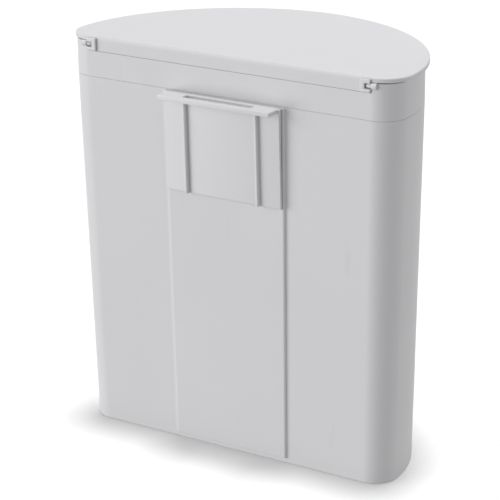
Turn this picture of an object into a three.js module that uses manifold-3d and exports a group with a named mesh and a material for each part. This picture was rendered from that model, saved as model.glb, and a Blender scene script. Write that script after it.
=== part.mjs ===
// A hung waste bin with a D-shaped plan: flat back, elliptical front, hinged lid.
// Millimetres, +Z up, the front faces -Y and the flat back with its hanger faces +Y.
// The origin is on the floor, under the middle of the whole bin with its hanger.

import * as THREE from 'three';
import { mergeVertices } from 'three/addons/utils/BufferGeometryUtils.js';
import Module from 'manifold-3d';

const wasm = await Module();
wasm.setup();

const overallHeight = 317.4;
const lidHalfWidth = 145.1;
const lidDepth = 154.5;
const lidCornerRadius = 22;
const lidThickness = 3.3;
const lidOverhang = 2.6; // past the collar at the sides and the front, flush at the back
const frontCurvePower = 1.9; // 2 would be a plain ellipse
const cornerSteps = 7; // straight facets round each rear corner
const frontSteps = 22; // straight facets on each half of the front

const wall = 2.4; // moulded wall thickness
const gap = 0.3; // free play between two pieces that touch

const bodyTop = 285.6;
const bodyFloor = 6.6; // top face of the floor
const floorThickness = 2.6;
const footRimWidth = 3.2;
const sideDraft = 6.5; // how far each side and the front come in at the bottom
const backDraft = 3.65; // how far the back comes in at the bottom

const panelHalfWidth = 52.5;
const panelProud = 2;
const panelBottom = 4;
const panelTop = 285;
const pocketHalfWidth = 50; // hollow behind the raised panel, so the wall stays even
const pocketBottom = 10;
const pocketTop = 283;

const collarBack = 306.1; // top of the collar's rear wall, under the lid's hinge strip
const collarTop = 313.3; // top of the collar everywhere else
const rearOpeningHalf = 123.8;
const collarWebTop = 289; // the collar thickens below this height, to carry the spigot
const collarWebInset = 1;
const spigotInset = 3.4;
const spigotWall = 2;
const spigotTop = 288;
const spigotBottom = 268;
const ledgeWidth = 5; // inward ledge at the spigot's foot, which carries the bag ring
const ledgeThickness = 2;

const ringInset = 6;
const ringFlange = 5.6;
const ringSkirtInset = 9;
const ringWall = 2;
const ringSkirtBottom = 258;
const ringTabHalfWidth = 14;
const ringTabReach = 12;
const ringTabSlotHalf = 8;
const ringTabSlotDepth = 5;
const ringTabSlotFromTip = 3;
const ringTabRoot = 2; // how far the tab reaches into the flange

const stripBottom = 306.7;
const stripThickness = 2.2;
const skirtBottom = 299;
const skirtWall = 1.8;
const gasketBottom = 300;
const gasketHeight = 4.5;
const gasketWall = 1.5;
const gasketSideGap = 0.4;
const gasketFrontGap = 0.9; // the front of the lid swings slightly forward as it opens

const hingeAxisY = -0.9; // behind the back plane is positive
const hingeAxisZ = 311.3;
const pinRadius = 1.6;
const pinStart = 120;
const pinEnd = 127.9;
const clipStart = 115;
const clipEnd = 123.4;
const clipSlotStart = 118.8;
const clipBottom = 307;
const clipTop = 316.3;
const clipProud = 1.75;
const clipDeep = 3.9;
const clipChamfer = 0.6;
const lugStart = 124;
const lugEnd = 128.1;
const lugRadius = 2.5;
const lugWebDeep = 3.4;
const lugWebBottom = 305.5;

const filterHalfWidth = 36; // inside of the filter holder under the lid
const filterBack = 27.6; // distances in front of the back plane
const filterFront = 84;
const filterWall = 1.6;
const filterRailBottom = 303;
const filterRailThickness = 1.2;
const coverThickness = 1.8;
const coverVents = 5;
const ventPitch = 9;
const ventHalfLength = 24;
const ventWidth = 3;
const coverTabHalf = 12;
const coverTabProud = 2;
const coverTabDrop = 4;
const padSideGap = 2;
const padBackGap = 1.4;
const padTopGap = 0.4;

const plateHalfWidth = 50.5;
const plateBottom = 207.5;
const plateThickness = 2.2;
const plateTopOut = 5.6; // outer face of the plate, measured from the back plane
const plateBottomOut = 3.6;
const tongueBottom = 259;
const bracketBackFace = 2.4;
const ledgeHalfWidth = 49;
const ledgeTop = 285;
const ledgeOut = 17;
const hangerLedgeThickness = 3.4;
const hangerSlotLength = 59.5;
const hangerSlotWidth = 6.3;
const hangerSlotFromEdge = 4.9;
const ribOffset = 31.4;
const ribWidth = 2.4;
const ribProud = 3;
const hookHalfWidth = 7;
const hookBottom = 254;
const hookNeckBottom = 261;
const hookTop = 267;
const hookTabFront = -2.5;
const hookTabBack = -1.1;
const hookLift = 8;
const hookSlotGap = 0.5;
const plateTopDrop = 0.4; // the plate stops this far below the top of the ledge

const backPlaneY = (lidDepth - ledgeOut) / 2;
const lidUnderside = overallHeight - lidThickness;
const collarHalfWidth = lidHalfWidth - lidOverhang;
const collarDepth = lidDepth - lidOverhang;
const collarCorner = lidCornerRadius - lidOverhang;
const collarBottom = bodyTop + gap;
const spigotInner = spigotInset + spigotWall;

// A closed three.js geometry as a solid that can be joined and cut.
function toSolid(geometry) {
  geometry.deleteAttribute('normal');
  geometry.deleteAttribute('uv');
  const merged = mergeVertices(geometry, 1e-4);
  const vertProperties = Float32Array.from(merged.attributes.position.array);
  const triVerts = Uint32Array.from(merged.index.array);
  return new wasm.Manifold(new wasm.Mesh({ numProp: 3, vertProperties, triVerts }));
}

// A solid as a named mesh with its own material.
function toMesh(name, solid, look) {
  const result = solid.getMesh();
  const geometry = new THREE.BufferGeometry();
  geometry.setAttribute('position', new THREE.BufferAttribute(result.vertProperties, 3));
  geometry.setIndex(new THREE.BufferAttribute(result.triVerts, 1));
  geometry.computeVertexNormals();
  const mesh = new THREE.Mesh(geometry, new THREE.MeshStandardMaterial(look));
  mesh.name = name;
  return mesh;
}

// The D-shaped outline: a straight back at y = back, two round rear corners, and a
// front that follows a superellipse from corner to corner.
function outline({ half, back, front, radius }) {
  const right = [];
  for (let i = 0; i <= cornerSteps; i += 1) {
    const angle = (Math.PI / 2) * (1 - i / cornerSteps);
    const x = half - radius + radius * Math.cos(angle);
    const y = back - radius + radius * Math.sin(angle);
    right.push(new THREE.Vector2(x, y));
  }
  const curveStart = back - radius;
  const curveDepth = curveStart - front;
  for (let i = 1; i <= frontSteps; i += 1) {
    const angle = (Math.PI / 2) * (i / frontSteps);
    const x = half * Math.cos(angle) ** (2 / frontCurvePower);
    const y = curveStart - curveDepth * Math.sin(angle) ** (2 / frontCurvePower);
    right.push(new THREE.Vector2(i === frontSteps ? 0 : x, y));
  }
  const left = right.slice(0, -1).map((point) => new THREE.Vector2(-point.x, point.y));
  return [...right, ...left.reverse()];
}

// The collar's outline moved inwards by one distance all round.
function collarOutline(inset, frontInset = inset) {
  return outline({
    half: collarHalfWidth - inset,
    back: -inset,
    front: frontInset - collarDepth,
    radius: collarCorner - inset,
  });
}

// An outline pulled straight up from one height to another.
function prism(points, bottom, top) {
  const shape = new THREE.Shape(points);
  const geometry = new THREE.ExtrudeGeometry(shape, { depth: top - bottom, bevelEnabled: false });
  geometry.translate(0, 0, bottom);
  return toSolid(geometry);
}

// A band between two outlines.
function band(outer, inner, bottom, top) {
  return prism(outer, bottom, top).subtract(prism(inner, bottom - 1, top + 1));
}

// A straight-sided block between two corners.
function block(low, high) {
  const size = high.map((value, axis) => value - low[axis]);
  const geometry = new THREE.BoxGeometry(...size);
  geometry.translate(...low.map((value, axis) => value + size[axis] / 2));
  return toSolid(geometry);
}

// A profile given as [y, z] points, pulled along X from one side to the other.
function profileAlongX(points, left, right) {
  const shape = new THREE.Shape(points.map(([y, z]) => new THREE.Vector2(y, z)));
  const geometry = new THREE.ExtrudeGeometry(shape, { depth: right - left, bevelEnabled: false });
  const turn = new THREE.Matrix4().makeBasis(
    new THREE.Vector3(0, 1, 0),
    new THREE.Vector3(0, 0, 1),
    new THREE.Vector3(1, 0, 0),
  );
  geometry.applyMatrix4(turn);
  geometry.translate(left, 0, 0);
  return toSolid(geometry);
}

// A round bar along the hinge axis.
function hingeBar(radius, left, right, sides = 20) {
  const geometry = new THREE.CylinderGeometry(radius, radius, right - left, sides);
  geometry.rotateZ(Math.PI / 2);
  geometry.translate((left + right) / 2, hingeAxisY, hingeAxisZ);
  return toSolid(geometry);
}

// The body narrows towards the floor, as a moulding must to leave its mould.
function drafted(solid) {
  return solid.warp((vertex) => {
    const drop = (bodyTop - vertex[2]) / bodyTop;
    const depthScale = 1 - (drop * (sideDraft + backDraft)) / collarDepth;
    vertex[0] *= 1 - (drop * sideDraft) / collarHalfWidth;
    vertex[1] = vertex[1] * depthScale - drop * backDraft;
  });
}

function bodyShell() {
  const outside = prism(collarOutline(0), 0, bodyTop);
  const inside = prism(collarOutline(wall), bodyFloor, bodyTop + 1);
  const underside = prism(collarOutline(footRimWidth), -1, bodyFloor - floorThickness);
  const panel = block([-panelHalfWidth, -1, panelBottom], [panelHalfWidth, panelProud, panelTop]);
  const pocketBack = panelProud - wall;
  const pocket = block(
    [-pocketHalfWidth, -wall - 1, pocketBottom],
    [pocketHalfWidth, pocketBack, pocketTop],
  );
  let shell = outside.add(panel).subtract(inside).subtract(underside).subtract(pocket);
  shell = drafted(shell);
  const slotHalf = hookHalfWidth + hookSlotGap;
  for (const side of [-1, 1]) {
    const middle = side * ribOffset;
    const slot = block(
      [middle - slotHalf, -wall * 2, hookNeckBottom - gap],
      [middle + slotHalf, panelProud + 1, hookTop + hookLift + 1],
    );
    shell = shell.subtract(slot);
  }
  return shell;
}

function collarRing() {
  const rearOpening = block(
    [-rearOpeningHalf, -wall - 1, collarBack],
    [rearOpeningHalf, 1, collarTop + 1],
  );
  let ring = band(collarOutline(0), collarOutline(wall), collarBottom, collarTop);
  ring = ring.subtract(rearOpening);
  ring = ring.add(
    band(
      collarOutline(collarWebInset),
      collarOutline(spigotInner),
      collarBottom,
      collarWebTop,
    ),
  );
  ring = ring.add(
    band(collarOutline(spigotInset), collarOutline(spigotInner), spigotBottom, spigotTop),
  );
  ring = ring.add(
    band(
      collarOutline(spigotInset),
      collarOutline(spigotInset + ledgeWidth),
      spigotBottom,
      spigotBottom + ledgeThickness,
    ),
  );
  for (const side of [-1, 1]) {
    const [left, right] = side > 0 ? [lugStart, lugEnd] : [-lugEnd, -lugStart];
    const web = block([left, -lugWebDeep, lugWebBottom], [right, hingeAxisY, collarTop]);
    ring = ring.add(hingeBar(lugRadius, left, right)).add(web);
    ring = ring.subtract(hingeBar(pinRadius + gap, left - 1, right + 1));
  }
  return ring;
}

function hingePin(side) {
  const [left, right] = side > 0 ? [pinStart, pinEnd] : [-pinEnd, -pinStart];
  return hingeBar(pinRadius, left, right);
}

function bagRing() {
  const seat = spigotBottom + ledgeThickness + gap;
  const flangeTop = seat + ringWall;
  let ring = band(
    collarOutline(ringInset),
    collarOutline(ringInset + ringFlange),
    seat,
    flangeTop,
  );
  ring = ring.add(
    band(
      collarOutline(ringSkirtInset),
      collarOutline(ringSkirtInset + ringWall),
      ringSkirtBottom,
      flangeTop,
    ),
  );
  const flangeInner = ringInset + ringFlange - collarDepth;
  const tabTip = flangeInner + ringTabReach;
  const tab = block(
    [-ringTabHalfWidth, flangeInner - ringTabRoot, seat],
    [ringTabHalfWidth, tabTip, flangeTop],
  );
  const slotTip = tabTip - ringTabSlotFromTip;
  const tabSlot = block(
    [-ringTabSlotHalf, slotTip - ringTabSlotDepth, seat - 1],
    [ringTabSlotHalf, slotTip, flangeTop + 1],
  );
  return ring.add(tab).subtract(tabSlot);
}

// The outline that the lid's skirt and gasket share, moved in from the collar's inside.
function sealOutline(inset) {
  const sideInset = wall + gasketSideGap + inset;
  const frontInset = wall + gasketFrontGap + inset;
  return collarOutline(sideInset, frontInset);
}

function lidPanel() {
  const plate = prism(
    outline({
      half: lidHalfWidth,
      back: 0,
      front: -lidDepth,
      radius: lidCornerRadius,
    }),
    lidUnderside,
    overallHeight,
  );
  const stripHalf = clipStart - gap;
  const strip = block(
    [-stripHalf, -stripThickness, stripBottom],
    [stripHalf, 0, lidUnderside + 1],
  );
  const skirtInset = gasketWall + gap;
  const skirt = band(
    sealOutline(skirtInset),
    sealOutline(skirtInset + skirtWall),
    skirtBottom,
    lidUnderside + 1,
  );
  const holderOuter = filterHalfWidth + filterWall;
  let holder = block(
    [-holderOuter, -filterFront, filterRailBottom],
    [holderOuter, filterWall - filterBack, lidUnderside + 1],
  );
  const room = block(
    [-filterHalfWidth, -filterFront - 1, filterRailBottom + filterRailThickness],
    [filterHalfWidth, -filterBack, lidUnderside],
  );
  const mouth = block(
    [filterWall - filterHalfWidth, -filterFront - 1, filterRailBottom - 1],
    [filterHalfWidth - filterWall, -filterBack, lidUnderside],
  );
  holder = holder.subtract(room).subtract(mouth);
  return plate.add(strip).add(skirt).add(holder);
}

function lidGasket() {
  return band(
    sealOutline(0),
    sealOutline(gasketWall),
    gasketBottom,
    gasketBottom + gasketHeight,
  );
}

// A C-shaped clip: a block with a channel that lets the pin in from its outer end.
function hingeClip(side) {
  const profile = [
    [clipProud - clipChamfer, clipBottom],
    [clipProud, clipBottom + clipChamfer],
    [clipProud, clipTop - gap],
    [clipProud - gap, clipTop],
    [gap, clipTop],
    [gap, lidUnderside - gap],
    [-clipDeep, lidUnderside - gap],
    [-clipDeep, clipBottom],
  ];
  const [left, right] = side > 0 ? [clipStart, clipEnd] : [-clipEnd, -clipStart];
  const [from, to] = side > 0 ? [clipSlotStart, clipEnd + 1] : [-clipEnd - 1, -clipSlotStart];
  const reach = pinRadius + gap;
  const channel = block(
    [from, hingeAxisY - reach, hingeAxisZ - reach],
    [to, clipProud + 1, hingeAxisZ + reach],
  );
  return profileAlongX(profile, left, right).subtract(channel);
}

// The cover that slides in below the pad: a vented plate with a finger tab at its front.
function filterSlide() {
  const bottom = filterRailBottom + filterRailThickness + gap;
  const top = bottom + coverThickness;
  const half = filterHalfWidth - gap;
  let cover = block([-half, -filterFront, bottom], [half, -filterBack - gap, top]);
  const middleVent = -(filterFront + filterBack) / 2;
  const firstVent = middleVent - ((coverVents - 1) * ventPitch) / 2;
  for (let i = 0; i < coverVents; i += 1) {
    const middle = firstVent + i * ventPitch;
    const vent = block(
      [-ventHalfLength, middle - ventWidth / 2, bottom - 1],
      [ventHalfLength, middle + ventWidth / 2, top + 1],
    );
    cover = cover.subtract(vent);
  }
  const tab = block(
    [-coverTabHalf, -filterFront - coverTabProud, bottom - coverTabDrop],
    [coverTabHalf, -filterFront + 0.1, top],
  );
  return cover.add(tab);
}

// The carbon pad, loose in the holder above the cover.
function filterPad() {
  const bottom = filterRailBottom + filterRailThickness + coverThickness + 2 * gap;
  const half = filterHalfWidth - padSideGap;
  return block(
    [-half, -filterFront + padSideGap, bottom],
    [half, -filterBack - padBackGap, lidUnderside - padTopGap],
  );
}

// An L-shaped bracket: the plate leans in towards its foot, and the top ledge is level.
function hangerBracket() {
  const lean = (plateTopOut - plateBottomOut) / (ledgeTop - plateBottom);
  const outAt = (z) => plateBottomOut + lean * (z - plateBottom);
  const ledgeBottom = ledgeTop - hangerLedgeThickness;
  const plateTop = ledgeTop - plateTopDrop;
  const plate = profileAlongX(
    [
      [bracketBackFace, plateTop],
      [bracketBackFace, tongueBottom],
      [outAt(tongueBottom) - plateThickness, tongueBottom],
      [outAt(plateBottom) - plateThickness, plateBottom],
      [outAt(plateBottom), plateBottom],
      [outAt(plateTop), plateTop],
    ],
    -plateHalfWidth,
    plateHalfWidth,
  );
  const ledge = block(
    [-ledgeHalfWidth, bracketBackFace, ledgeBottom],
    [ledgeHalfWidth, ledgeOut, ledgeTop],
  );
  const slotOuter = ledgeOut - hangerSlotFromEdge;
  const slot = block(
    [-hangerSlotLength / 2, slotOuter - hangerSlotWidth, ledgeBottom - 1],
    [hangerSlotLength / 2, slotOuter, ledgeTop + 1],
  );
  let bracket = plate.add(ledge).subtract(slot);
  for (const side of [-1, 1]) {
    const middle = side * ribOffset;
    const rib = profileAlongX(
      [
        [outAt(plateBottom) - 1, plateBottom],
        [outAt(plateBottom) + ribProud, plateBottom],
        [outAt(ledgeBottom + 1) + ribProud, ledgeBottom + 1],
        [outAt(ledgeBottom + 1) - 1, ledgeBottom + 1],
      ],
      middle - ribWidth / 2,
      middle + ribWidth / 2,
    );
    const neck = block(
      [middle - hookHalfWidth, hookTabFront, hookNeckBottom],
      [middle + hookHalfWidth, bracketBackFace + 0.5, hookTop],
    );
    const tab = block(
      [middle - hookHalfWidth, hookTabFront, hookBottom],
      [middle + hookHalfWidth, hookTabBack, hookTop],
    );
    bracket = bracket.add(rib).add(neck).add(tab);
  }
  return bracket;
}

const shellLook = { color: '#d3d3d6', roughness: 0.55, metalness: 0 };
const lidLook = { color: '#dddee1', roughness: 0.5, metalness: 0 };
const stripLook = { color: '#e0e0e2', roughness: 0.5, metalness: 0 };
const innerLook = { color: '#b9bcc0', roughness: 0.6, metalness: 0 };
const gasketLook = { color: '#6f7276', roughness: 0.85, metalness: 0 };
const filterLook = { color: '#2b2c2e', roughness: 1, metalness: 0 };

const bin = new THREE.Group();
bin.position.y = backPlaneY;

bin.add(toMesh('body_shell', bodyShell(), shellLook));
bin.add(toMesh('hanger_bracket', hangerBracket(), stripLook));

const collarGroup = new THREE.Group();
collarGroup.add(toMesh('collar_ring', collarRing(), shellLook));
collarGroup.add(toMesh('hinge_pin_left', hingePin(-1), stripLook));
collarGroup.add(toMesh('hinge_pin_right', hingePin(1), stripLook));
collarGroup.add(toMesh('bag_ring', bagRing(), innerLook));

const lidGroup = new THREE.Group();
lidGroup.add(toMesh('lid_panel', lidPanel(), lidLook));
lidGroup.add(toMesh('lid_gasket', lidGasket(), gasketLook));
lidGroup.add(toMesh('hinge_clip_left', hingeClip(-1), stripLook));
lidGroup.add(toMesh('hinge_clip_right', hingeClip(1), stripLook));
lidGroup.add(toMesh('filter_pad', filterPad(), filterLook));
lidGroup.add(toMesh('filter_slide', filterSlide(), innerLook));

collarGroup.add(lidGroup);
bin.add(collarGroup);

const root = new THREE.Group();
root.add(bin);

export default root;
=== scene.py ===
import math

import bmesh
import bpy
import numpy as np
from mathutils import Matrix


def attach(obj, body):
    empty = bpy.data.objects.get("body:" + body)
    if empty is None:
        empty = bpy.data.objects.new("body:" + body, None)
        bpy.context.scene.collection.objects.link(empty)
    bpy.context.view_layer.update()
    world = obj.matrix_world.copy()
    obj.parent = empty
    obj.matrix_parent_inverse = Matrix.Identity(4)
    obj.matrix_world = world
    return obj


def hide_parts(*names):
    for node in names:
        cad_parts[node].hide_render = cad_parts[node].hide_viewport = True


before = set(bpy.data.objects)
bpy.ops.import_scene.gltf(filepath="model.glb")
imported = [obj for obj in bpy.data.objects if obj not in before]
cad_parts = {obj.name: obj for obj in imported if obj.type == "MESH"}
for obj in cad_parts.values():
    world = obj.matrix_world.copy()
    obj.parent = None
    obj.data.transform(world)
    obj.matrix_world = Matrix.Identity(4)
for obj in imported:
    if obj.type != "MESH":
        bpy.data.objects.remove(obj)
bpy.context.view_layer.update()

# Sizes in millimetres that several pieces share. The flat back lies in local y = 0 and the front faces -Y.
common = {
    "backPlane": 68.75,  # local y = 0 in the row frame
    "curvePower": 1.9,  # of the front's superellipse
    "straightEnd": 123.1,  # where the flat back meets the round rear corner
    "collarHalf": 142.5,
    "collarDepth": 151.9,
    "collarCorner": 19.4,
    "lidHalf": 145.1,
    "lidDepth": 154.5,
    "lidCorner": 22.0,
    "hingeY": -0.9,
    "hingeZ": 311.3,
    "sharpAngle": 38,  # degrees; sharper edges than this aren't shaded smooth
}


# How a rounded corner is divided: its steps, and how far its support points stand off, as a multiple of the
# cut and at most as a share of the side. Points closer than tiny are one point.
fillet = {"steps": 5, "support": 2.4, "most": 0.48, "tiny": 1e-4}


# Rounds the corners of a path. A corner gives way to corner + before (1 - sin t) + after (1 - cos t), where
# before and after are its cut along the two sides, and keeps one support point beyond each end of the arc.
def roundedPath(points, cuts, steps=fillet["steps"]):
    corners = np.asarray(points, float)
    cut = np.asarray(cuts, float)[:, None]
    back = np.roll(corners, 1, axis=0) - corners
    ahead = np.roll(corners, -1, axis=0) - corners
    backLength = np.linalg.norm(back, axis=1, keepdims=True)
    aheadLength = np.linalg.norm(ahead, axis=1, keepdims=True)
    turn = np.linspace(0, np.pi / 2, steps + 1)[None, :, None]
    before = (back / backLength * cut)[:, None]
    after = (ahead / aheadLength * cut)[:, None]
    arcs = corners[:, None] + before * (1 - np.sin(turn)) + after * (1 - np.cos(turn))
    wanted = cut * fillet["support"]
    reachBefore = np.maximum(cut, np.minimum(wanted, backLength * fillet["most"]))
    reachAfter = np.maximum(cut, np.minimum(wanted, aheadLength * fillet["most"]))
    supportBefore = corners + back / backLength * reachBefore
    supportAfter = corners + ahead / aheadLength * reachAfter
    path = np.concatenate([supportBefore[:, None], arcs, supportAfter[:, None]], axis=1)
    path = path.reshape(-1, corners.shape[1])
    moved = np.linalg.norm(path - np.roll(path, 1, axis=0), axis=1) > fillet["tiny"]
    moved[0] = True
    return path[moved]


# The columns of a D outline, from the middle of the back round to the middle of the front and back again:
# x along the straight back, then the angle round the rear corner, then the angle round the front.
def outlineColumns(backStops, cornerStops, frontSteps):
    corner = np.radians(cornerStops)
    front = np.linspace(0, np.pi / 2, frontSteps + 1)[1:]
    parts = {
        "back": np.r_[backStops, np.zeros(len(corner) + len(front))],
        "corner": np.r_[np.zeros(len(backStops)), corner, np.full(len(front), np.pi / 2)],
        "front": np.r_[np.zeros(len(backStops) + len(corner)), front],
        "side": np.ones(len(backStops) + len(corner) + len(front)),
    }
    columns = {key: np.r_[values, values[-2:0:-1]] for key, values in parts.items()}
    columns["side"][len(parts["side"]) :] = -1
    return columns


# Angles round a quarter turn in count even steps, without the first at 0.
def evenTurns(count):
    return np.arange(1, count + 1) * 90 / count


# Points on D outlines, one row for each (half width, back, front, corner radius, height): a straight back,
# a round corner, and a front where x = half cos(a)^p and y falls by depth sin(a)^p.
def outlineGrid(columns, rows):
    half, back, front, radius, height = np.asarray(rows)[:, :, None].transpose(1, 0, 2)
    power = 2 / common["curvePower"]
    frontTurn = columns["front"]
    cornerTurn = columns["corner"]
    curveStart = back - radius
    frontX = half * np.clip(np.cos(frontTurn), 0, 1) ** power
    frontY = curveStart - (curveStart - front) * np.sin(frontTurn) ** power
    cornerX = half - radius + radius * np.sin(cornerTurn)
    cornerY = curveStart + radius * np.cos(cornerTurn)
    x = np.where(frontTurn > 0, frontX, np.where(cornerTurn > 0, cornerX, columns["back"]))
    y = np.where(frontTurn > 0, frontY, cornerY)
    return np.stack([x * columns["side"], y, height + 0 * x], axis=2)


# Rows for outlineGrid at each (inset, height) of a path, moved in from the collar's outline.
def collarRows(path, frontExtra=0.0):
    inset, height = path[:, 0], path[:, 1]
    return np.stack(
        [
            common["collarHalf"] - inset,
            -inset,
            inset + frontExtra - common["collarDepth"],
            common["collarCorner"] - inset,
            height,
        ],
        axis=1,
    )


# The same from the lid's outline.
def lidRows(path):
    inset, height = path[:, 0], path[:, 1]
    return np.stack(
        [
            common["lidHalf"] - inset,
            -inset,
            inset - common["lidDepth"],
            common["lidCorner"] - inset,
            height,
        ],
        axis=1,
    )


# Quads between the neighbours of a grid of points. The columns close on themselves; the rows do if looped,
# and otherwise one flat face closes each end.
def gridShell(grid, looped=False, windows=()):
    rowCount, columnCount = grid.shape[:2]
    row = np.arange(rowCount if looped else rowCount - 1)[:, None]
    column = np.arange(columnCount)[None, :]
    nextRow = (row + 1) % rowCount
    nextColumn = (column + 1) % columnCount
    corners = [
        row * columnCount + column,
        row * columnCount + nextColumn,
        nextRow * columnCount + nextColumn,
        nextRow * columnCount + column,
    ]
    quads = np.stack(corners, axis=2)
    keep = np.ones(quads.shape[:2], bool)
    bridges = []
    for outerRow, innerRow, first, last in windows:
        keep[outerRow, first:last] = False
        keep[innerRow, first:last] = False
        bridges.append(windowSides(columnCount, outerRow, innerRow, first, last))
    faces = np.concatenate([quads[keep], *bridges]).tolist()
    if not looped:
        faces.append(list(range(columnCount - 1, -1, -1)))
        faces.append(list(range((rowCount - 1) * columnCount, rowCount * columnCount)))
    return outward(grid.reshape(-1, 3), faces)


# The four sides of a window that is cut through two skins of one grid, where the inner skin's rows run
# the other way.
def windowSides(columnCount, outerRow, innerRow, first, last):
    near = np.arange(first, last)
    outerLow, outerHigh = outerRow * columnCount, (outerRow + 1) * columnCount
    innerHigh, innerLow = innerRow * columnCount, (innerRow + 1) * columnCount
    sill = np.stack(
        [outerLow + near, outerLow + near + 1, innerLow + near + 1, innerLow + near], axis=1
    )
    head = np.stack(
        [outerHigh + near + 1, outerHigh + near, innerHigh + near, innerHigh + near + 1], axis=1
    )
    jambs = [
        [outerHigh + first, outerLow + first, innerLow + first, innerHigh + first],
        [outerLow + last, outerHigh + last, innerHigh + last, innerLow + last],
    ]
    return np.concatenate([sill, head, jambs])


# Turns a closed shell's faces outward: the sum of a . (b x c) / 6 over its triangles must be positive.
def outward(points, faces):
    volume = 0.0
    for size in {len(face) for face in faces}:
        same = np.array([face for face in faces if len(face) == size])
        for step in range(1, size - 1):
            a, b, c = points[same[:, 0]], points[same[:, step]], points[same[:, step + 1]]
            volume += np.einsum("ij,ij->", a, np.cross(b, c)) / 6
    if volume < 0:
        faces = [face[::-1] for face in faces]
    return points, faces


# A closed profile of (y, z) points pulled along X, with its edges rounded by moving the end rows in along
# the profile's own normals.
def barShell(profile, start, end, edge, steps=3):
    turn = np.linspace(0, np.pi / 2, steps + 1)
    inset = edge * (1 - np.sin(turn))
    reach = edge * (1 - np.cos(turn))
    insets = np.r_[inset, inset[::-1]]
    stations = np.r_[start + reach, end - reach[::-1]]
    return gridShell(insetProfile(profile, insets, stations))


# The profile at each station along X, moved in by that station's inset.
def insetProfile(profile, insets, stations):
    loop = np.asarray(profile, float)
    along = np.roll(loop, -1, axis=0) - loop
    along /= np.linalg.norm(along, axis=1, keepdims=True)
    before = np.roll(along, 1, axis=0)
    area = np.sum(loop[:, 0] * np.roll(loop[:, 1], -1) - np.roll(loop[:, 0], -1) * loop[:, 1])
    side = np.stack([-(along + before)[:, 1], (along + before)[:, 0]], axis=1) * np.sign(area)
    side /= (1 + np.sum(along * before, axis=1))[:, None]
    flat = loop[None] + side[None] * np.asarray(insets)[:, None, None]
    x = np.broadcast_to(np.asarray(stations)[:, None, None], (*flat.shape[:2], 1))
    return np.concatenate([x, flat], axis=2)


# A plate on the level between an outer and an inner loop of (x, y) points, both with as many points.
def framePlate(outer, inner, bottom, top, edge):
    width = np.linalg.norm(outer - inner, axis=1).min()
    section = [[0, bottom], [0, top], [width, top], [width, bottom]]
    path = roundedPath(section, [edge] * 4)
    share = (path[:, 0] / width)[:, None, None]
    flat = outer[None] * (1 - share) + inner[None] * share
    level = np.broadcast_to(path[:, 1][:, None, None], (*flat.shape[:2], 1))
    return gridShell(np.concatenate([flat, level], axis=2), looped=True)


# A rectangle's outline with round corners, as (x, y) points that start on its +X side.
def roundedRectangle(centre, size, radius, steps=6):
    half = np.asarray(size, float) / 2
    corners = np.array([[1, 1], [-1, 1], [-1, -1], [1, -1]]) * half + np.asarray(centre)
    angles = np.linspace(0, np.pi / 2, steps + 1)
    starts = np.arange(4) * np.pi / 2
    turned = starts[:, None] + angles[None]
    inward = np.array([[-1, -1], [1, -1], [1, 1], [-1, 1]]) * radius
    arcs = np.stack([np.cos(turned), np.sin(turned)], axis=2) * radius
    return ((corners + inward)[:, None] + arcs).reshape(-1, 2)


# A solid plate on the level inside one loop, with rounded top and bottom edges.
def padShell(loop, bottom, top, edge, steps=4):
    turn = np.linspace(0, np.pi / 2, steps + 1)
    inset = edge * (1 - np.sin(turn))
    reach = edge * (1 - np.cos(turn))
    insets = np.r_[inset, inset[::-1]]
    heights = np.r_[bottom + reach, top - reach[::-1]]
    grid = insetProfile(loop, insets, heights)
    return gridShell(grid[:, :, [1, 2, 0]])


# A closed profile of (sideways, height) points pulled along an open path on the level, with mitred turns.
def sweepShell(profile, path):
    way = np.diff(path, axis=0)
    way /= np.linalg.norm(way, axis=1, keepdims=True)
    before, after = way[[0, *range(len(way))]], way[[*range(len(way)), -1]]
    mitre = before + after
    mitre /= (1 + np.sum(before * after, axis=1))[:, None]
    sideways = np.stack([mitre[:, 1], -mitre[:, 0]], axis=1)
    flat = path[:, None] + sideways[:, None] * profile[None, :, :1]
    level = np.broadcast_to(profile[None, :, 1:], (*flat.shape[:2], 1))
    return gridShell(np.concatenate([flat, level], axis=2))


# One object from closed shells in local millimetres, in place in the row frame, in metres.
def makePiece(name, shells, body, node, look):
    points, faces, start = [], [], 0
    for shellPoints, shellFaces in shells:
        points.append(shellPoints)
        faces += [[start + index for index in face] for face in shellFaces]
        start += len(shellPoints)
    placed = (np.concatenate(points) + [0, common["backPlane"], 0]) / 1000
    mesh = bpy.data.meshes.new(name)
    mesh.from_pydata(placed.tolist(), [], faces)
    return addPiece(name, mesh, body, node, look)


# A finished mesh as one object that rides its body and replaces its CAD node.
def addPiece(name, mesh, body, node, look):
    mesh.shade_smooth()
    mesh.set_sharp_from_angle(angle=math.radians(common["sharpAngle"]))
    mesh.materials.append(look)
    piece = bpy.data.objects.new(name, mesh)
    bpy.context.scene.collection.objects.link(piece)
    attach(piece, body)
    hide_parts(node)
    print("piece", name, len(mesh.polygons), "faces")
    return piece


merging = {"doubles": 2e-6, "flat": 0.01, "steps": 3, "corner": 30}  # metres, radians, and degrees


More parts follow.
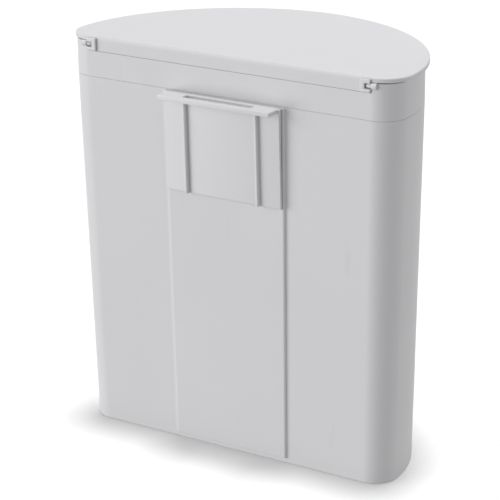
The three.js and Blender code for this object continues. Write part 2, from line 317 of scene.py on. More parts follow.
# A copy of a CAD node whose loose triangles are joined into flat faces, with its edges rounded.
def roundedCopy(node, name, edge, body, look):
    work = bmesh.new()
    work.from_mesh(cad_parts[node].data)
    bmesh.ops.remove_doubles(work, verts=work.verts, dist=merging["doubles"])
    flat = merging["flat"]
    bmesh.ops.dissolve_limit(work, angle_limit=flat, verts=work.verts, edges=work.edges)
    bmesh.ops.recalc_face_normals(work, faces=work.faces)
    work.verts.index_update()
    points = [tuple(vertex.co) for vertex in work.verts]
    faces = [[vertex.index for vertex in face.verts] for face in work.faces]
    work.free()
    mesh = bpy.data.meshes.new(name)
    mesh.from_pydata(points, [], faces)
    piece = addPiece(name, mesh, body, node, look)
    rounding = piece.modifiers.new("rounding", "BEVEL")
    rounding.width = edge / 1000
    rounding.segments = merging["steps"]
    rounding.limit_method = "ANGLE"
    rounding.angle_limit = math.radians(merging["corner"])
    return piece


# A shader output that takes part in plain arithmetic.
class Value:
    def __init__(self, look, socket):
        self.look = look
        self.socket = socket

    def __add__(self, other):
        return self.look.calc("ADD", self, other)

    def __sub__(self, other):
        return self.look.calc("SUBTRACT", self, other)

    def __mul__(self, other):
        return self.look.calc("MULTIPLY", self, other)

    def __radd__(self, other):
        return self.look.calc("ADD", other, self)

    def __rsub__(self, other):
        return self.look.calc("SUBTRACT", other, self)


# A material under construction: nodes are made by their type, settings and inputs.
class Look:
    def __init__(self, name):
        self.material = bpy.data.materials.new(name)
        self.material.use_nodes = True
        self.tree = self.material.node_tree
        self.shader = self.tree.nodes["Principled BSDF"]
        self.place = self.node("TexCoord", output="Object")

    def node(self, kind, settings=None, inputs=None, output=0):
        made = self.tree.nodes.new("ShaderNode" + kind)
        for key, value in (settings or {}).items():
            setattr(made, key, value)
        for key, value in (inputs or {}).items():
            self.feed(made.inputs[key], value)
        return Value(self, made.outputs[output])

    def feed(self, socket, value):
        if isinstance(value, Value):
            self.tree.links.new(value.socket, socket)
        else:
            socket.default_value = value

    def calc(self, operation, *values):
        return self.node("Math", {"operation": operation}, dict(enumerate(values)))

    def noise(self, scale, detail=2.0, roughness=0.5, stretch=(1, 1, 1)):
        at = self.node("Mapping", {}, {"Vector": self.place, "Scale": stretch})
        inputs = {"Vector": at, "Scale": scale, "Detail": detail, "Roughness": roughness}
        return self.node("TexNoise", {}, inputs)

    def axis(self, letter):
        return self.node("SeparateXYZ", {}, {"Vector": self.place}, letter)

    # 0 below low, 1 above high, and a smooth rise between
    def rise(self, value, low, high):
        settings = {"interpolation_type": "SMOOTHSTEP"}
        return self.node("MapRange", settings, {"Value": value, "From Min": low, "From Max": high})

    def tint(self, share, first, second):
        inputs = {0: share, 6: first, 7: second}
        return self.node("Mix", {"data_type": "RGBA"}, inputs, output=2)

    def bump(self, height, distance, strength):
        inputs = {"Height": height, "Distance": distance, "Strength": strength}
        return self.node("Bump", {}, inputs)

    def finish(self, **inputs):
        for key, value in inputs.items():
            self.feed(self.shader.inputs[key.replace("_", " ")], value)
        return self.material


# A colour from one grey level and a small lean to blue.
def grey(level, blue=0.0):
    return (level * (1 - blue), level * (1 - blue), level * (1 + blue), 1.0)


plastic = {
    "driftScale": 9,
    "driftTones": (0.975, 1.025),  # of the level, at the two ends of the slow drift
    "cloudScale": 34,
    "fineFactor": 2.7,  # of the finer grain's scale against the main grain's
    "fineShare": 0.4,
    "scuffScale": 95,
    "scuffStretch": (1.0, 1.0, 0.16),
    "scuffRange": (0.66, 0.76),
    "rubbedRange": (0.52, 0.74),
    "speckRange": (0.35, 0.7),
    "speckShare": 0.05,
    # the height in metres below which the tone darkens towards the bottom
    "lowDarkHeight": 0.02,
    "markTone": 0.82,
    "speckTone": 0.9,
    "rough": {"cloud": 0.08, "rubbed": 0.1, "scuff": 0.12, "texture": 0.06},
    "ior": 1.49,
}


# Moulded plastic: a fine spark-eroded grain, a slow drift of tone, faint rubbed patches, hairline scuffs and
# a darker tone towards the bottom. Roughness is gloss plus a share of each of these.
def plasticLook(name, level, gloss, grain, marks, blue):
    s = plastic
    look = Look(name)
    drift = look.noise(s["driftScale"], 3)
    cloud = look.noise(s["cloudScale"], 4, 0.6)
    texture = look.noise(grain["scale"], 2, 0.55)
    fine = look.noise(grain["scale"] * s["fineFactor"], 1)
    scuffNoise = look.noise(s["scuffScale"], 3, 0.65, stretch=s["scuffStretch"])
    scuff = look.rise(scuffNoise, *s["scuffRange"]) * marks["scuff"]
    rubbed = look.rise(cloud, *s["rubbedRange"]) * marks["rubbed"]
    # A darker tone towards the bottom: darkest at the floor and gone at 20 mm of height, by the share each
    # material gives.
    lowDark = (1 - look.rise(look.axis("Z"), 0.0, s["lowDarkHeight"])) * marks["lowDark"]
    dark, pale = (level * tone for tone in s["driftTones"])
    plain = look.tint(drift, grey(dark, blue), grey(pale, blue * 0.6))
    marked = look.tint(scuff * 0.5 + lowDark, plain, grey(level * s["markTone"], blue))
    specks = look.rise(fine, *s["speckRange"]) * s["speckShare"]
    speckled = look.tint(specks, marked, grey(level * s["speckTone"], blue))
    share = s["rough"]
    worn = (cloud - 0.5) * share["cloud"] - rubbed * share["rubbed"] + scuff * share["scuff"]
    height = texture + fine * s["fineShare"] - scuff * 0.8
    return look.finish(
        Base_Color=speckled,
        Roughness=gloss + worn + (texture - 0.5) * share["texture"],
        Normal=look.bump(height, grain["depth"], grain["strength"]),
        IOR=s["ior"],
    )


# Soft rubber: fine pores, a cloudy surface and a pale bloom in patches.
def rubberLook(name, level):
    look = Look(name)
    cloud = look.noise(70, 4, 0.6)
    pores = look.noise(2600, 2)
    bloom = look.rise(look.noise(22, 3), 0.45, 0.75)
    return look.finish(
        Base_Color=look.tint(bloom * 0.6, grey(level * 0.85, 0.01), grey(level * 1.5, 0.01)),
        Roughness=0.72 + cloud * 0.14,
        Normal=look.bump(pores + cloud, 0.00003, 0.8),
        IOR=1.45,
    )


# Carbon felt: short crossed fibres from two stretched noises, and pale flecks.
def feltLook(name, level):
    look = Look(name)
    along = look.noise(900, 4, 0.7, stretch=(0.25, 1, 1))
    across = look.noise(900, 4, 0.7, stretch=(1, 0.25, 1))
    fibre = look.calc("MAXIMUM", along, across)
    fleck = look.rise(look.noise(1500, 2), 0.66, 0.74)
    dark = look.tint(look.rise(fibre, 0.45, 0.75), grey(level * 0.5), grey(level * 1.9))
    height = fibre + look.noise(160, 3) * 0.8
    return look.finish(
        Base_Color=look.tint(fleck * 0.3, dark, grey(0.2)),
        Roughness=0.9 + fibre * 0.1,
        Normal=look.bump(height, 0.0004, 0.9),
    )


# A matt pale floor that hardly changes its tone.
def floorLook(name, level):
    look = Look(name)
    colour = look.tint(look.noise(3, 2), grey(level), grey(level * 1.01))
    return look.finish(Base_Color=colour, Roughness=0.9, Specular_IOR_Level=0.0)


body = {
    "floorTop": 6.6,
    "recessTop": 4.0,
    "footRim": 3.2,
    "wall": 2.4,
    "top": 285.66,
    "capInset": 14,
    "panelHalf": 52.5,
    "panelProud": 2.0,
    "panelFillet": 1.5,  # along the panel's two long edges
    "panelFoot": [3.8, 4.1],  # heights between which the panel comes out
    "panelHead": [284.75, 285.0],  # and goes back in
    "pocketHalf": 50.0,
    "pocketFillet": 0.4,
    "pocketFoot": [9.9, 10.1],
    "pocketHead": [282.9, 283.1],
    "outerStops": [12, 30, 55, 85, 115, 145, 175, 205, 235],  # heights of the skin's rows
    "innerStops": [240, 210, 180, 150, 120, 90, 60, 30],
    "backStops": [75, 95, 112, 121, 122.6],  # and where its columns stand, past the panel
    "slotEdges": [23.9, 38.9],
    "slotHeights": [260.7, 276.0],
    "sideDraft": 6.5,
    "backDraft": 3.65,
}


# The tapered bucket as one skin. The path runs from the middle of the underside up the outside, over the
# rim and down the inside: (inset, height, panel, pocket, cut), where panel and pocket say how far the back's
# raised panel and the hollow behind it push that row outward, and cut is the corner's rounding.
def bodyShell():
    s = body
    proud = s["panelProud"]
    outerWall = [[0, height, proud, 0, 0] for height in [*s["outerStops"], *s["slotHeights"]]]
    innerStops = [*s["slotHeights"][::-1], *s["innerStops"]]
    innerWall = [[s["wall"], height, 0, proud, 0] for height in innerStops]
    corners = np.array(
        [
            [s["capInset"], s["recessTop"], 0, 0, 0],
            [s["footRim"], s["recessTop"], 0, 0, 0.8],
            [s["footRim"], 0, 0, 0, 0.5],
            [0, 0, 0, 0, 0.35],
            [0, s["panelFoot"][0], 0, 0, 0.4],
            [0, s["panelFoot"][1], proud, 0, 0.5],
            *outerWall,
            [0, s["panelHead"][0], proud, 0, 0.2],
            [0, s["panelHead"][1], 0, 0, 0.12],
            [0, s["top"], 0, 0, 0.12],
            [s["wall"], s["top"], 0, 0, 0.3],
            [s["wall"], s["pocketHead"][1], 0, 0, 0.4],
            [s["wall"], s["pocketHead"][0], 0, proud, 0.4],
            *innerWall,
            [s["wall"], s["pocketFoot"][1], 0, proud, 0.4],
            [s["wall"], s["pocketFoot"][0], 0, 0, 0.4],
            [s["wall"], s["floorTop"], 0, 0, 2.0],
            [s["capInset"], s["floorTop"], 0, 0, 0],
        ]
    )
    path = roundedPath(corners[:, :4], corners[:, 4])
    panelEdge = stepEdge(s["panelHalf"], proud, s["panelFillet"])
    pocketEdge = stepEdge(s["pocketHalf"], proud, s["pocketFillet"])
    even = [0, 12, *s["slotEdges"], *s["backStops"], common["straightEnd"]]
    backStops = np.unique(np.r_[even, panelEdge[:, 0], pocketEdge[:, 0]].round(4))
    columns = outlineColumns(backStops, evenTurns(24), 96)
    grid = outlineGrid(columns, collarRows(path))
    onBack = np.where((columns["corner"] == 0) & (columns["front"] == 0), 1.0, 0.0)
    panelShare = np.interp(columns["back"], *panelEdge.T) * onBack
    pocketShare = np.interp(columns["back"], *pocketEdge.T) * onBack
    grid[:, :, 1] += path[:, 2:3] * panelShare + path[:, 3:4] * pocketShare
    windows = [
        (rowAt(path, s["slotHeights"][0], 2), rowAt(path, s["slotHeights"][1], 3), *edges)
        for edges in slotColumns(grid, s["slotEdges"])
    ]
    return gridShell(drafted(grid), windows=windows)


# How a raised step falls off sideways, as (x, share) points: level, then a quarter ellipse with its fillet,
# then the steep side and a small foot.
def stepEdge(half, proud, fillet):
    turn = np.linspace(0, np.pi / 2, 7)
    x = half - fillet * (1 - np.sin(turn))
    share = 1 - fillet / proud * (1 - np.cos(turn))
    foot = [[half + 0.08, 0.05], [half + 0.3, 0], [half + 6, 0]]
    level = [[half - 6, 1]]
    return np.concatenate([level, np.stack([x, share], axis=1), foot])


# The row of a path at a height on the skin whose own push, in that column, isn't zero.
def rowAt(path, height, push):
    onSkin = (np.abs(path[:, 1] - height) < fillet["tiny"]) & (path[:, push] > 0)
    return int(np.flatnonzero(onSkin)[0])


# The first and last column of each hook slot, on both sides of the back.
def slotColumns(grid, edges):
    x, y = grid[0, :, 0], grid[0, :, 1]
    tiny = fillet["tiny"]
    flat = y > -body["capInset"] - tiny
    spans = []
    for low, high in (edges, [-edge for edge in edges[::-1]]):
        inside = np.flatnonzero(flat & (x > low - tiny) & (x < high + tiny))
        spans.append((int(inside.min()), int(inside.max())))
    return spans


# The body narrows towards the floor: each side, the front and the back come in with the drop below its top.
def drafted(grid):
    s = body
    drop = (s["top"] - grid[:, :, 2]) / s["top"]
    depthScale = 1 - drop * (s["sideDraft"] + s["backDraft"]) / common["collarDepth"]
    x = grid[:, :, 0] * (1 - drop * s["sideDraft"] / common["collarHalf"])
    y = grid[:, :, 1] * depthScale - drop * s["backDraft"]
    return np.stack([x, y, grid[:, :, 2]], axis=2)


collar = {
    "bottom": 285.8,
    "top": 313.3,
    "wall": 2.4,
    "webTop": 289.0,
    "spigotOut": 3.4,
    "spigotIn": 5.4,
    "ledgeIn": 8.4,
    "ledgeTop": 270.0,
    "ledgeBottom": 268.0,
    "rearDrop": 7.2,  # the rear wall is lower, to leave room for the lid's hinge strip
    "openingAngles": [1.98, 2.16],  # round the rear corner, where the opening ends
    "lug": [124.0, 128.1],
    "lugRadius": 2.5,
    "lugHole": 1.9,
    "lugEdge": 0.3,
    "webFront": -3.4,
    "webBottom": 305.5,
}


# The ring between body and lid as one closed section, with path points (inset, height, share of the rear
# drop), and a lug with a hole on each side.
def collarShells():
    s = collar
    path = roundedPath(
        [
            [0, s["bottom"], 0],
            [0, s["top"], 1],
            [s["wall"], s["top"], 1],
            [s["wall"], s["webTop"], 0],
            [s["spigotIn"], s["webTop"], 0],
            [s["spigotIn"], s["ledgeTop"], 0],
            [s["ledgeIn"], s["ledgeTop"], 0],
            [s["ledgeIn"], s["ledgeBottom"], 0],
            [s["spigotOut"], s["ledgeBottom"], 0],
            [s["spigotOut"], s["bottom"], 0],
        ],
        [0.12, 0.12, 0.35, 0.5, 0.4, 0.5, 0.4, 0.4, 0.6, 0.3],
    )
    backStops = np.r_[np.linspace(0, 120, 13), 122.6, common["straightEnd"]]
    cornerStops = [1.0, *s["openingAngles"], 3.4, 5.2, *evenTurns(24)[1:]]
    columns = outlineColumns(backStops, cornerStops, 96)
    grid = outlineGrid(columns, collarRows(path))
    turned = np.degrees(columns["corner"])
    lowered = np.interp(turned, s["openingAngles"], [1, 0])
    grid[:, :, 2] -= path[:, 2:3] * lowered * s["rearDrop"]
    shells = [gridShell(grid, looped=True)]
    lug = lugProfile()
    angles = np.linspace(0, 2 * np.pi, len(lug), endpoint=False)
    hole = np.stack([np.sin(angles), -np.cos(angles)], axis=1) * s["lugHole"]
    hole += [common["hingeY"], common["hingeZ"]]
    for side in (-1, 1):
        low, high = sorted(side * edge for edge in s["lug"])
        shells.append(tubeShell(lug, hole, low, high, s["lugEdge"]))
    return shells


# The lug's (y, z) outline, from the foot of the round part forward and round its back: a half circle about
# the pin behind a straight web, evenly spaced along its length.
def lugProfile():
    s = collar
    turn = np.linspace(-np.pi / 2, np.pi / 2, 19)
    arc = np.stack([np.cos(turn), np.sin(turn)], axis=1) * s["lugRadius"]
    arc += [common["hingeY"], common["hingeZ"]]
    web = roundedPath(
        [
            [common["hingeY"], s["top"]],
            [s["webFront"], s["top"]],
            [s["webFront"], s["webBottom"]],
            [common["hingeY"], s["webBottom"]],
        ],
        [0, s["lugEdge"], s["lugEdge"], 0],
    )
    return evenLoop(np.concatenate([arc, web]), 72)


# A closed loop's points again, evenly spaced along its length.
def evenLoop(loop, count):
    closed = np.concatenate([loop, loop[:1]])
    length = np.r_[0, np.cumsum(np.linalg.norm(np.diff(closed, axis=0), axis=1))]
    at = np.linspace(0, length[-1], count, endpoint=False)
    return np.stack([np.interp(at, length, closed[:, axis]) for axis in (0, 1)], axis=1)


# A bar along X with a round hole: the outer profile with rounded ends, then the hole back to the start.
def tubeShell(profile, hole, start, end, edge):
    turn = np.linspace(0, np.pi / 2, 4)
    inset = edge * (1 - np.sin(turn))
    reach = edge * (1 - np.cos(turn))
    outer = insetProfile(profile, np.r_[inset, inset[::-1]], np.r_[start + reach, end - reach[::-1]])
    inner = insetProfile(hole, [0, 0], [end, start])
    return gridShell(np.concatenate([outer, inner]), looped=True)


ring = {
    "flange": [6.0, 11.6],
    "skirt": [9.0, 11.0],
    "top": 272.3,
    "flangeBottom": 270.3,
    "skirtBottom": 258.0,
    "tabHalf": 14.0,
    "tabSpan": [-143.2, -128.3],
    "tabCorner": 2.5,
    "tabInset": 0.05,  # of the tab's faces from the flange's
    "tabEdge": 0.4,
    "slotHalf": 8.0,
    "slotSpan": [-136.3, -131.3],
    "slotCorner": 1.5,
}


# The bag ring: a flange with a skirt, and a finger tab with a slot at the front.
def ringShells():
    s = ring
    path = roundedPath(
        [
            [s["flange"][0], s["top"]],
            [s["flange"][1], s["top"]],
            [s["flange"][1], s["flangeBottom"]],
            [s["skirt"][1], s["flangeBottom"]],
            [s["skirt"][1], s["skirtBottom"]],
            [s["skirt"][0], s["skirtBottom"]],
            [s["skirt"][0], s["flangeBottom"]],
            [s["flange"][0], s["flangeBottom"]],
        ],
        [0.5, 0.5, 0.25, 0.2, 0.5, 0.5, 0.5, 0.5],
    )
    backStops = np.r_[np.linspace(0, 120, 9), common["straightEnd"]]
    columns = outlineColumns(backStops, evenTurns(18), 72)
    loop = gridShell(outlineGrid(columns, collarRows(path)), looped=True)
    tabSize = [2 * s["tabHalf"], np.ptp(s["tabSpan"])]
    slotSize = [2 * s["slotHalf"], np.ptp(s["slotSpan"])]
    outer = roundedRectangle([0, sum(s["tabSpan"]) / 2], tabSize, s["tabCorner"])
    inner = roundedRectangle([0, sum(s["slotSpan"]) / 2], slotSize, s["slotCorner"])
    bottom, top = s["flangeBottom"] + s["tabInset"], s["top"] - s["tabInset"]
    return [loop, framePlate(outer, inner, bottom, top, s["tabEdge"])]


lid = {
    "top": 317.4,
    "underside": 314.1,
    "capInset": 16,
    "stripIn": 2.2,
    "stripDrop": 7.8,
    "stripEnds": [114.8, 114.94],
    "stripStops": [113, 114.4, 115.3, 116.6, 122.4],  # columns about the strip's end
    "skirt": [4.6, 6.4],
    "skirtBottom": 299.0,
    "frontExtra": 0.5,
    "holderHalf": 36.8,
    "holderFront": -84.0,
    "holderBack": -26.8,
    "holderWall": 0.8,
    "railIn": 2.4,
    "railBottom": 303.0,
    "railTop": 304.2,
}


# The lid's plate with its hinge strip and skirt as one skin, and the filter holder below it. Path points
# are (inset, height, share of the strip's drop).
def lidShells():
    s = lid
    rim = roundedPath(
        [
            [s["capInset"], s["top"], 0],
            [0, s["top"], 0],
            [0, s["underside"], 1],
            [s["stripIn"], s["underside"], 1],
            [s["stripIn"] + 0.4, s["underside"], 0],
            [s["stripIn"] + 0.7, s["underside"], 0],
        ],
        [0, 0.9, 0.12, 0.3, 0.1, 0],
    )
    skirt = roundedPath(
        [
            [3.4, s["underside"], 0],
            [s["skirt"][0], s["underside"], 0],
            [s["skirt"][0], s["skirtBottom"], 0],
            [s["skirt"][1], s["skirtBottom"], 0],
            [s["skirt"][1], s["underside"], 0],
            [12, s["underside"], 0],
        ],
        [0, 0.35, 0.6, 0.6, 0.8, 0],
    )
    ends = s["stripEnds"]
    stops = np.sort(np.r_[s["stripStops"], ends])
    backStops = np.r_[np.linspace(0, 108, 10), stops, common["straightEnd"]]
    columns = outlineColumns(backStops, evenTurns(30), 110)
    rows = np.concatenate([lidRows(rim), collarRows(skirt, s["frontExtra"])])
    grid = outlineGrid(columns, rows)
    onBack = (columns["corner"] == 0) & (columns["front"] == 0)
    share = np.interp(columns["back"], ends, [1, 0]) * onBack
    drop = np.concatenate([rim[:, 2], skirt[:, 2]])[:, None]
    grid[:, :, 2] -= drop * share * s["stripDrop"]
    rail = np.array(
        [
            [s["holderWall"], s["railBottom"]],
            [s["holderWall"], s["underside"] + 1],
            [-s["holderWall"], s["underside"] + 1],
            [-s["holderWall"], s["railTop"]],
            [-s["railIn"], s["railTop"]],
            [-s["railIn"], s["railBottom"]],
        ]
    )
    rail = roundedPath(rail, [0.3, 0, 0, 0.2, 0.3, 0.3], 3)
    half = s["holderHalf"]
    track = np.array(
        [
            [half, s["holderFront"]],
            [half, s["holderBack"]],
            [-half, s["holderBack"]],
            [-half, s["holderFront"]],
        ]
    )
    return [gridShell(grid), sweepShell(rail, track)]


gasket = {"side": [2.8, 4.3], "heights": [300.0, 304.5], "frontExtra": 0.5, "edge": 0.55}


# The soft seal round the lid's skirt: a rounded band.
def gasketShells():
    s = gasket
    (out, inside), (low, high) = s["side"], s["heights"]
    path = roundedPath([[out, low], [out, high], [inside, high], [inside, low]], [s["edge"]] * 4)
    backStops = np.r_[np.linspace(0, 120, 9), common["straightEnd"]]
    columns = outlineColumns(backStops, evenTurns(24), 96)
    return [gridShell(outlineGrid(columns, collarRows(path, s["frontExtra"])), looped=True)]


pin = {"span": [120.0, 127.9], "radius": 1.75, "edge": 0.3, "steps": 40}


# A round bar about the hinge's axis with rounded ends.
def pinShell(side):
    turn = np.linspace(0, 2 * np.pi, pin["steps"], endpoint=False)
    circle = np.stack([np.cos(turn), np.sin(turn)], axis=1) * pin["radius"]
    circle += [common["hingeY"], common["hingeZ"]]
    low, high = sorted(side * edge for edge in pin["span"])
    return barShell(circle, low, high, pin["edge"])


pad = {
    "half": 34.0,
    "span": [-82.0, -29.0],
    "heights": [306.6, 313.7],
    "corner": 3.0,
    "edge": 1.2,
}


# A block with a rounded rectangle for its outline and soft edges.
def padShells():
    s = pad
    size = [2 * s["half"], np.ptp(s["span"])]
    loop = roundedRectangle([0, sum(s["span"]) / 2], size, s["corner"])
    return [padShell(loop, *s["heights"], s["edge"])]


bracket = {
    "plateHalf": 50.5,
    "plateTop": 284.6,
    "plateBottom": 207.5,
    "plateThick": 2.2,
    "out": [3.6, 5.6],  # of the plate's outer face, at its bottom and at the ledge's top
    "tongueBottom": 259.0,
    "backFace": 2.4,
    "ledgeHalf": 49.0,
    "ledgeTop": 285.0,
    "ledgeBottom": 281.6,
    "ledgeOut": 17.0,
    "ledgeEdge": 0.7,
    "slot": [59.5, 6.3, 4.9],  # length, width, and how far in from the ledge's outer edge
    "ledgeCorner": 0.8,
    "plateEdge": 0.45,
    "ribs": [31.4, 2.4, 3.0],  # offset, width, proud
    "ribEdge": 1.0,
    "hook": {"half": 7.0, "front": -2.5, "tabBack": -1.1},
    "hookHeights": [254.0, 261.0, 267.0],  # foot of the tab, foot of the neck, top
    "hookEdge": 0.25,
}


# The hanger: a plate that leans in towards its foot, a level ledge with a slot, two ribs and two hooks. The
# outer face of the plate stands out by a straight line from its foot to the ledge's top.
def bracketShells():
    s = bracket
    low, high = s["plateBottom"], s["ledgeTop"]

    def outAt(height):
        return float(np.interp(height, [low, high], s["out"]))

    tongue = s["tongueBottom"]
    plate = roundedPath(
        [
            [s["backFace"], s["plateTop"]],
            [s["backFace"], tongue],
            [outAt(tongue) - s["plateThick"], tongue],
            [outAt(low) - s["plateThick"], low],
            [outAt(low), low],
            [outAt(s["plateTop"]), s["plateTop"]],
        ],
        [0.5, 0, 0, 0.6, 1.0, 0.5],
    )
    shells = [barShell(plate, -s["plateHalf"], s["plateHalf"], s["plateEdge"], 4)]
    length, width, fromEdge = s["slot"]
    depth = s["ledgeOut"] - s["backFace"]
    corner = s["ledgeCorner"]
    outer = roundedRectangle([0, s["backFace"] + depth / 2], [2 * s["ledgeHalf"], depth], corner)
    inner = roundedRectangle([0, s["ledgeOut"] - fromEdge - width / 2], [length, width], corner)
    shells.append(framePlate(outer, inner, s["ledgeBottom"], s["ledgeTop"], s["ledgeEdge"]))
    offset, ribWidth, ribProud = s["ribs"]
    ribTop = s["ledgeBottom"] + 1
    rib = [
        [outAt(low) - 1, low],
        [outAt(low) + ribProud, low],
        [outAt(ribTop) + ribProud, ribTop],
        [outAt(ribTop) - 1, ribTop],
    ]
    rib = roundedPath(rib, [0, 1.3, 0, 0])
    hook = s["hook"]
    foot, neckFoot, top = s["hookHeights"]
    neck = hookProfile(hook["front"], s["backFace"] + 0.5, neckFoot, top)
    tab = hookProfile(hook["front"], hook["tabBack"], foot, top)
    for side in (-1, 1):
        middle = side * offset
        near, far = middle - ribWidth / 2, middle + ribWidth / 2
        shells.append(barShell(rib, near, far, s["ribEdge"], 5))
        near, far = middle - hook["half"], middle + hook["half"]
        shells += [barShell(profile, near, far, s["hookEdge"]) for profile in (neck, tab)]
    return shells


# A rounded (y, z) rectangle.
def hookProfile(front, back, low, high):
    corners = [[front, low], [back, low], [back, high], [front, high]]
    return roundedPath(corners, [bracket["hookEdge"]] * 4, 3)


clip = {
    "span": [115.0, 123.4],
    "channelStart": 118.8,
    "channelHalf": 1.9,
    "heights": [306.6, 316.3],
    "rearTop": 313.8,
    "proud": 1.75,
    "rearFace": 0.3,
    "channelDeep": -2.8,
    "deep": -3.9,
    "edge": 0.6,
    "cuts": [0.7, 0.12],  # of the outline's corners, at the front and further in
    "tuck": 0.04,  # how far the rear part's outline is moved in
}


# A C-shaped clip: its front, the part behind it that fits under the lid's plate, and the back of its
# channel. The outline is a C of (x, z) points that opens to the outer end, pulled along Y.
def clipShells(side):
    s = clip
    turn = np.linspace(0, np.pi / 2, 6)
    inset = s["edge"] * (1 - np.sin(turn))[::-1]
    reach = s["edge"] * (1 - np.cos(turn))[::-1]
    front = clipOutline(s["heights"][1], 0.0, s["cuts"][0])
    rear = clipOutline(s["rearTop"], s["tuck"], s["cuts"][1])
    (start, end), low = s["span"], s["heights"][0]
    back = [[start, low], [end, low], [end, s["rearTop"]], [start, s["rearTop"]]]
    back = roundedPath(back, [0.3] * 4)
    face, channel, deep = s["rearFace"], s["channelDeep"], s["deep"]
    layers = [
        (front, [0.15, 0, *inset], [face, face + 0.15, *(s["proud"] - reach)]),
        (rear, [0, 0], [channel - 0.05, face + 0.1]),
        (back, [0.3, 0.07, 0.07], [deep, deep + 0.25, channel]),
    ]
    shells = []
    for outline, insets, stations in layers:
        grid = insetProfile(outline, insets, stations)[:, :, [1, 0, 2]]
        grid[:, :, 0] *= side
        shells.append(gridShell(grid))
    return shells


# The C of (x, z) points up to a height, with the whole outline moved in by inset.
def clipOutline(top, inset, cut):
    s = clip
    (start, end), low = s["span"], s["heights"][0]
    floor = common["hingeZ"] - s["channelHalf"]
    roof = common["hingeZ"] + s["channelHalf"]
    corners = np.array(
        [
            [start + inset, low + inset],
            [end - inset, low + inset],
            [end - inset, floor - inset],
            [s["channelStart"] - inset, floor - inset],
            [s["channelStart"] - inset, roof + inset],
            [end - inset, roof + inset],
            [end - inset, top - inset],
            [start + inset, top - inset],
        ]
    )
    inside = s["cuts"][1]
    return roundedPath(corners, [cut, cut, cut, inside, inside, cut, cut, cut])


cover = {"edge": 0.25}


stage = {
    "floor": {"level": 0.96, "half": 6.0, "drop": 0.0004},
    "ambient": 0.36,
    "lights": {
        "key": {"from": (0.5, 0.47, 0.02), "spread": 50, "strength": 2.3},
        "top": {"from": (0.0, -0.055, 1.0), "spread": 9, "strength": 1.92},
        "side": {"from": (-1.0, 0.05, 0.0), "spread": 90, "strength": 0.66},
        "edge": {"from": (-0.45, -0.9, 0.0), "spread": 60, "strength": 0.22},
        "front": {"from": (0.45, -0.9, 0.06), "spread": 45, "strength": 0.68},
    },
}


# The floor, an even white surround and the lights.
def buildStage():
    s = stage["floor"]
    half, height = s["half"], -s["drop"]
    corners = [(-half, -half, height), (half, -half, height), (half, half, height)]
    mesh = bpy.data.meshes.new("studio_floor")
    mesh.from_pydata([*corners, (-half, half, height)], [], [(0, 1, 2, 3)])
    mesh.materials.append(floorLook("pale_floor", s["level"]))
    floor = bpy.data.objects.new("studio_floor", mesh)
    bpy.context.scene.collection.objects.link(floor)
    floor.visible_diffuse = False  # the floor throws no light back up, so the walls stay even
    floor.visible_shadow = False
    world = bpy.data.worlds.new("studio")
    world.use_nodes = True
    world.node_tree.nodes["Background"].inputs["Color"].default_value = (1, 1, 1, 1)
    world.node_tree.nodes["Background"].inputs["Strength"].default_value = stage["ambient"]
    bpy.context.scene.world = world
    for name, settings in stage["lights"].items():
        addLight(name, settings)


# A far, soft light that shines from its direction towards the origin; spread is its angular size.
def addLight(name, settings):
    light = bpy.data.lights.new(name, "SUN")
    light.angle = math.radians(settings["spread"])
    light.energy = settings["strength"]
    lamp = bpy.data.objects.new(name, light)
    bpy.context.scene.collection.objects.link(lamp)
    x, y, z = settings["from"]
    lamp.rotation_euler = (math.atan2(math.hypot(x, y), z), 0, math.atan2(-x, y) + math.pi)


camera = {
    "place": (-0.8434, 1.3705, 0.7206),
    "yaw": 32.283,  # degrees from -Y towards +X
    "pitch": 19.673,  # degrees down
    "roll": 0.646,
    "lens": 156.82,
    "sensor": 36.0,
}


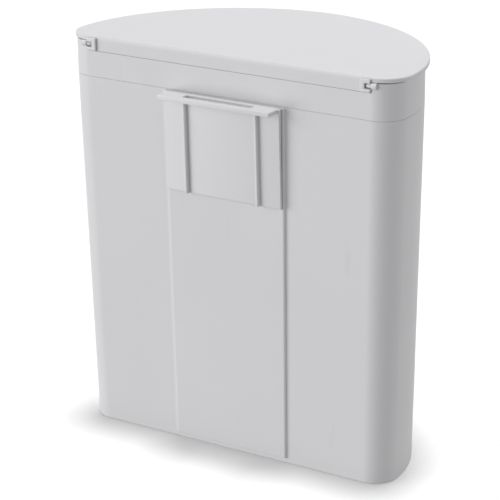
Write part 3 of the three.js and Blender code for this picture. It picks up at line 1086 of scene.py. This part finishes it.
# The camera's axes: forward from yaw and pitch, right on the level, then both turned by the roll.
def placeCamera():
    s = camera
    yaw, pitch, roll = (math.radians(s[key]) for key in ("yaw", "pitch", "roll"))
    forward = np.array(
        [
            math.sin(yaw) * math.cos(pitch),
            -math.cos(yaw) * math.cos(pitch),
            -math.sin(pitch),
        ]
    )
    right = np.array([-math.cos(yaw), -math.sin(yaw), 0.0])
    down = np.cross(forward, right)
    turnedRight = math.cos(roll) * right + math.sin(roll) * down
    turnedDown = math.cos(roll) * down - math.sin(roll) * right
    data = bpy.data.cameras.new("camera")
    data.lens = s["lens"]
    data.sensor_width = s["sensor"]
    view = bpy.data.objects.new("camera", data)
    bpy.context.scene.collection.objects.link(view)
    axes = np.eye(4)
    axes[:3, 0], axes[:3, 1], axes[:3, 2] = turnedRight, -turnedDown, -forward
    axes[:3, 3] = s["place"]
    view.matrix_world = Matrix(axes.tolist())
    bpy.context.scene.camera = view


fineGrain = {"scale": 1500, "depth": 0.00004, "strength": 0.45}
satinGrain = {"scale": 2200, "depth": 0.00002, "strength": 0.35}
faintMarks = {"scuff": 0.35, "rubbed": 0.6, "lowDark": 0.1}
innerWear = {"scuff": 0.6, "rubbed": 0.8, "lowDark": 0.0}

shellLook = plasticLook("shell_plastic", 0.61, 0.52, fineGrain, faintMarks, 0.013)
lidLook = plasticLook("lid_plastic", 0.605, 0.5, fineGrain, faintMarks, 0.018)
fittingLook = plasticLook("fitting_plastic", 0.615, 0.42, satinGrain, faintMarks, 0.013)
innerLook = plasticLook("inner_plastic", 0.46, 0.48, satinGrain, innerWear, 0.01)
gasketLook = rubberLook("seal_rubber", 0.12)
filterLook = feltLook("carbon_felt", 0.03)
print("materials made")

makePiece("tapered_body", [bodyShell()], "bin_body", "body_shell", shellLook)
makePiece("lid_collar", collarShells(), "collar", "collar_ring", shellLook)
makePiece("bag_holder_ring", ringShells(), "bag_holder", "bag_ring", innerLook)
makePiece("flat_lid", lidShells(), "lid", "lid_panel", lidLook)
makePiece("lid_seal", gasketShells(), "lid", "lid_gasket", gasketLook)
makePiece("carbon_pad", padShells(), "lid", "filter_pad", filterLook)
for sideName, side in (("left", -1), ("right", 1)):
    pinNode, clipNode = "hinge_pin_" + sideName, "hinge_clip_" + sideName
    makePiece("pin_" + sideName, [pinShell(side)], "collar", pinNode, fittingLook)
    makePiece("clip_" + sideName, clipShells(side), "lid", clipNode, fittingLook)
makePiece("wall_bracket", bracketShells(), "hanger", "hanger_bracket", fittingLook)
roundedCopy("filter_slide", "vent_cover", cover["edge"], "filter_cover", innerLook)

buildStage()
placeCamera()
bpy.context.scene.view_settings.view_transform = "Standard"
print("stage and camera made")
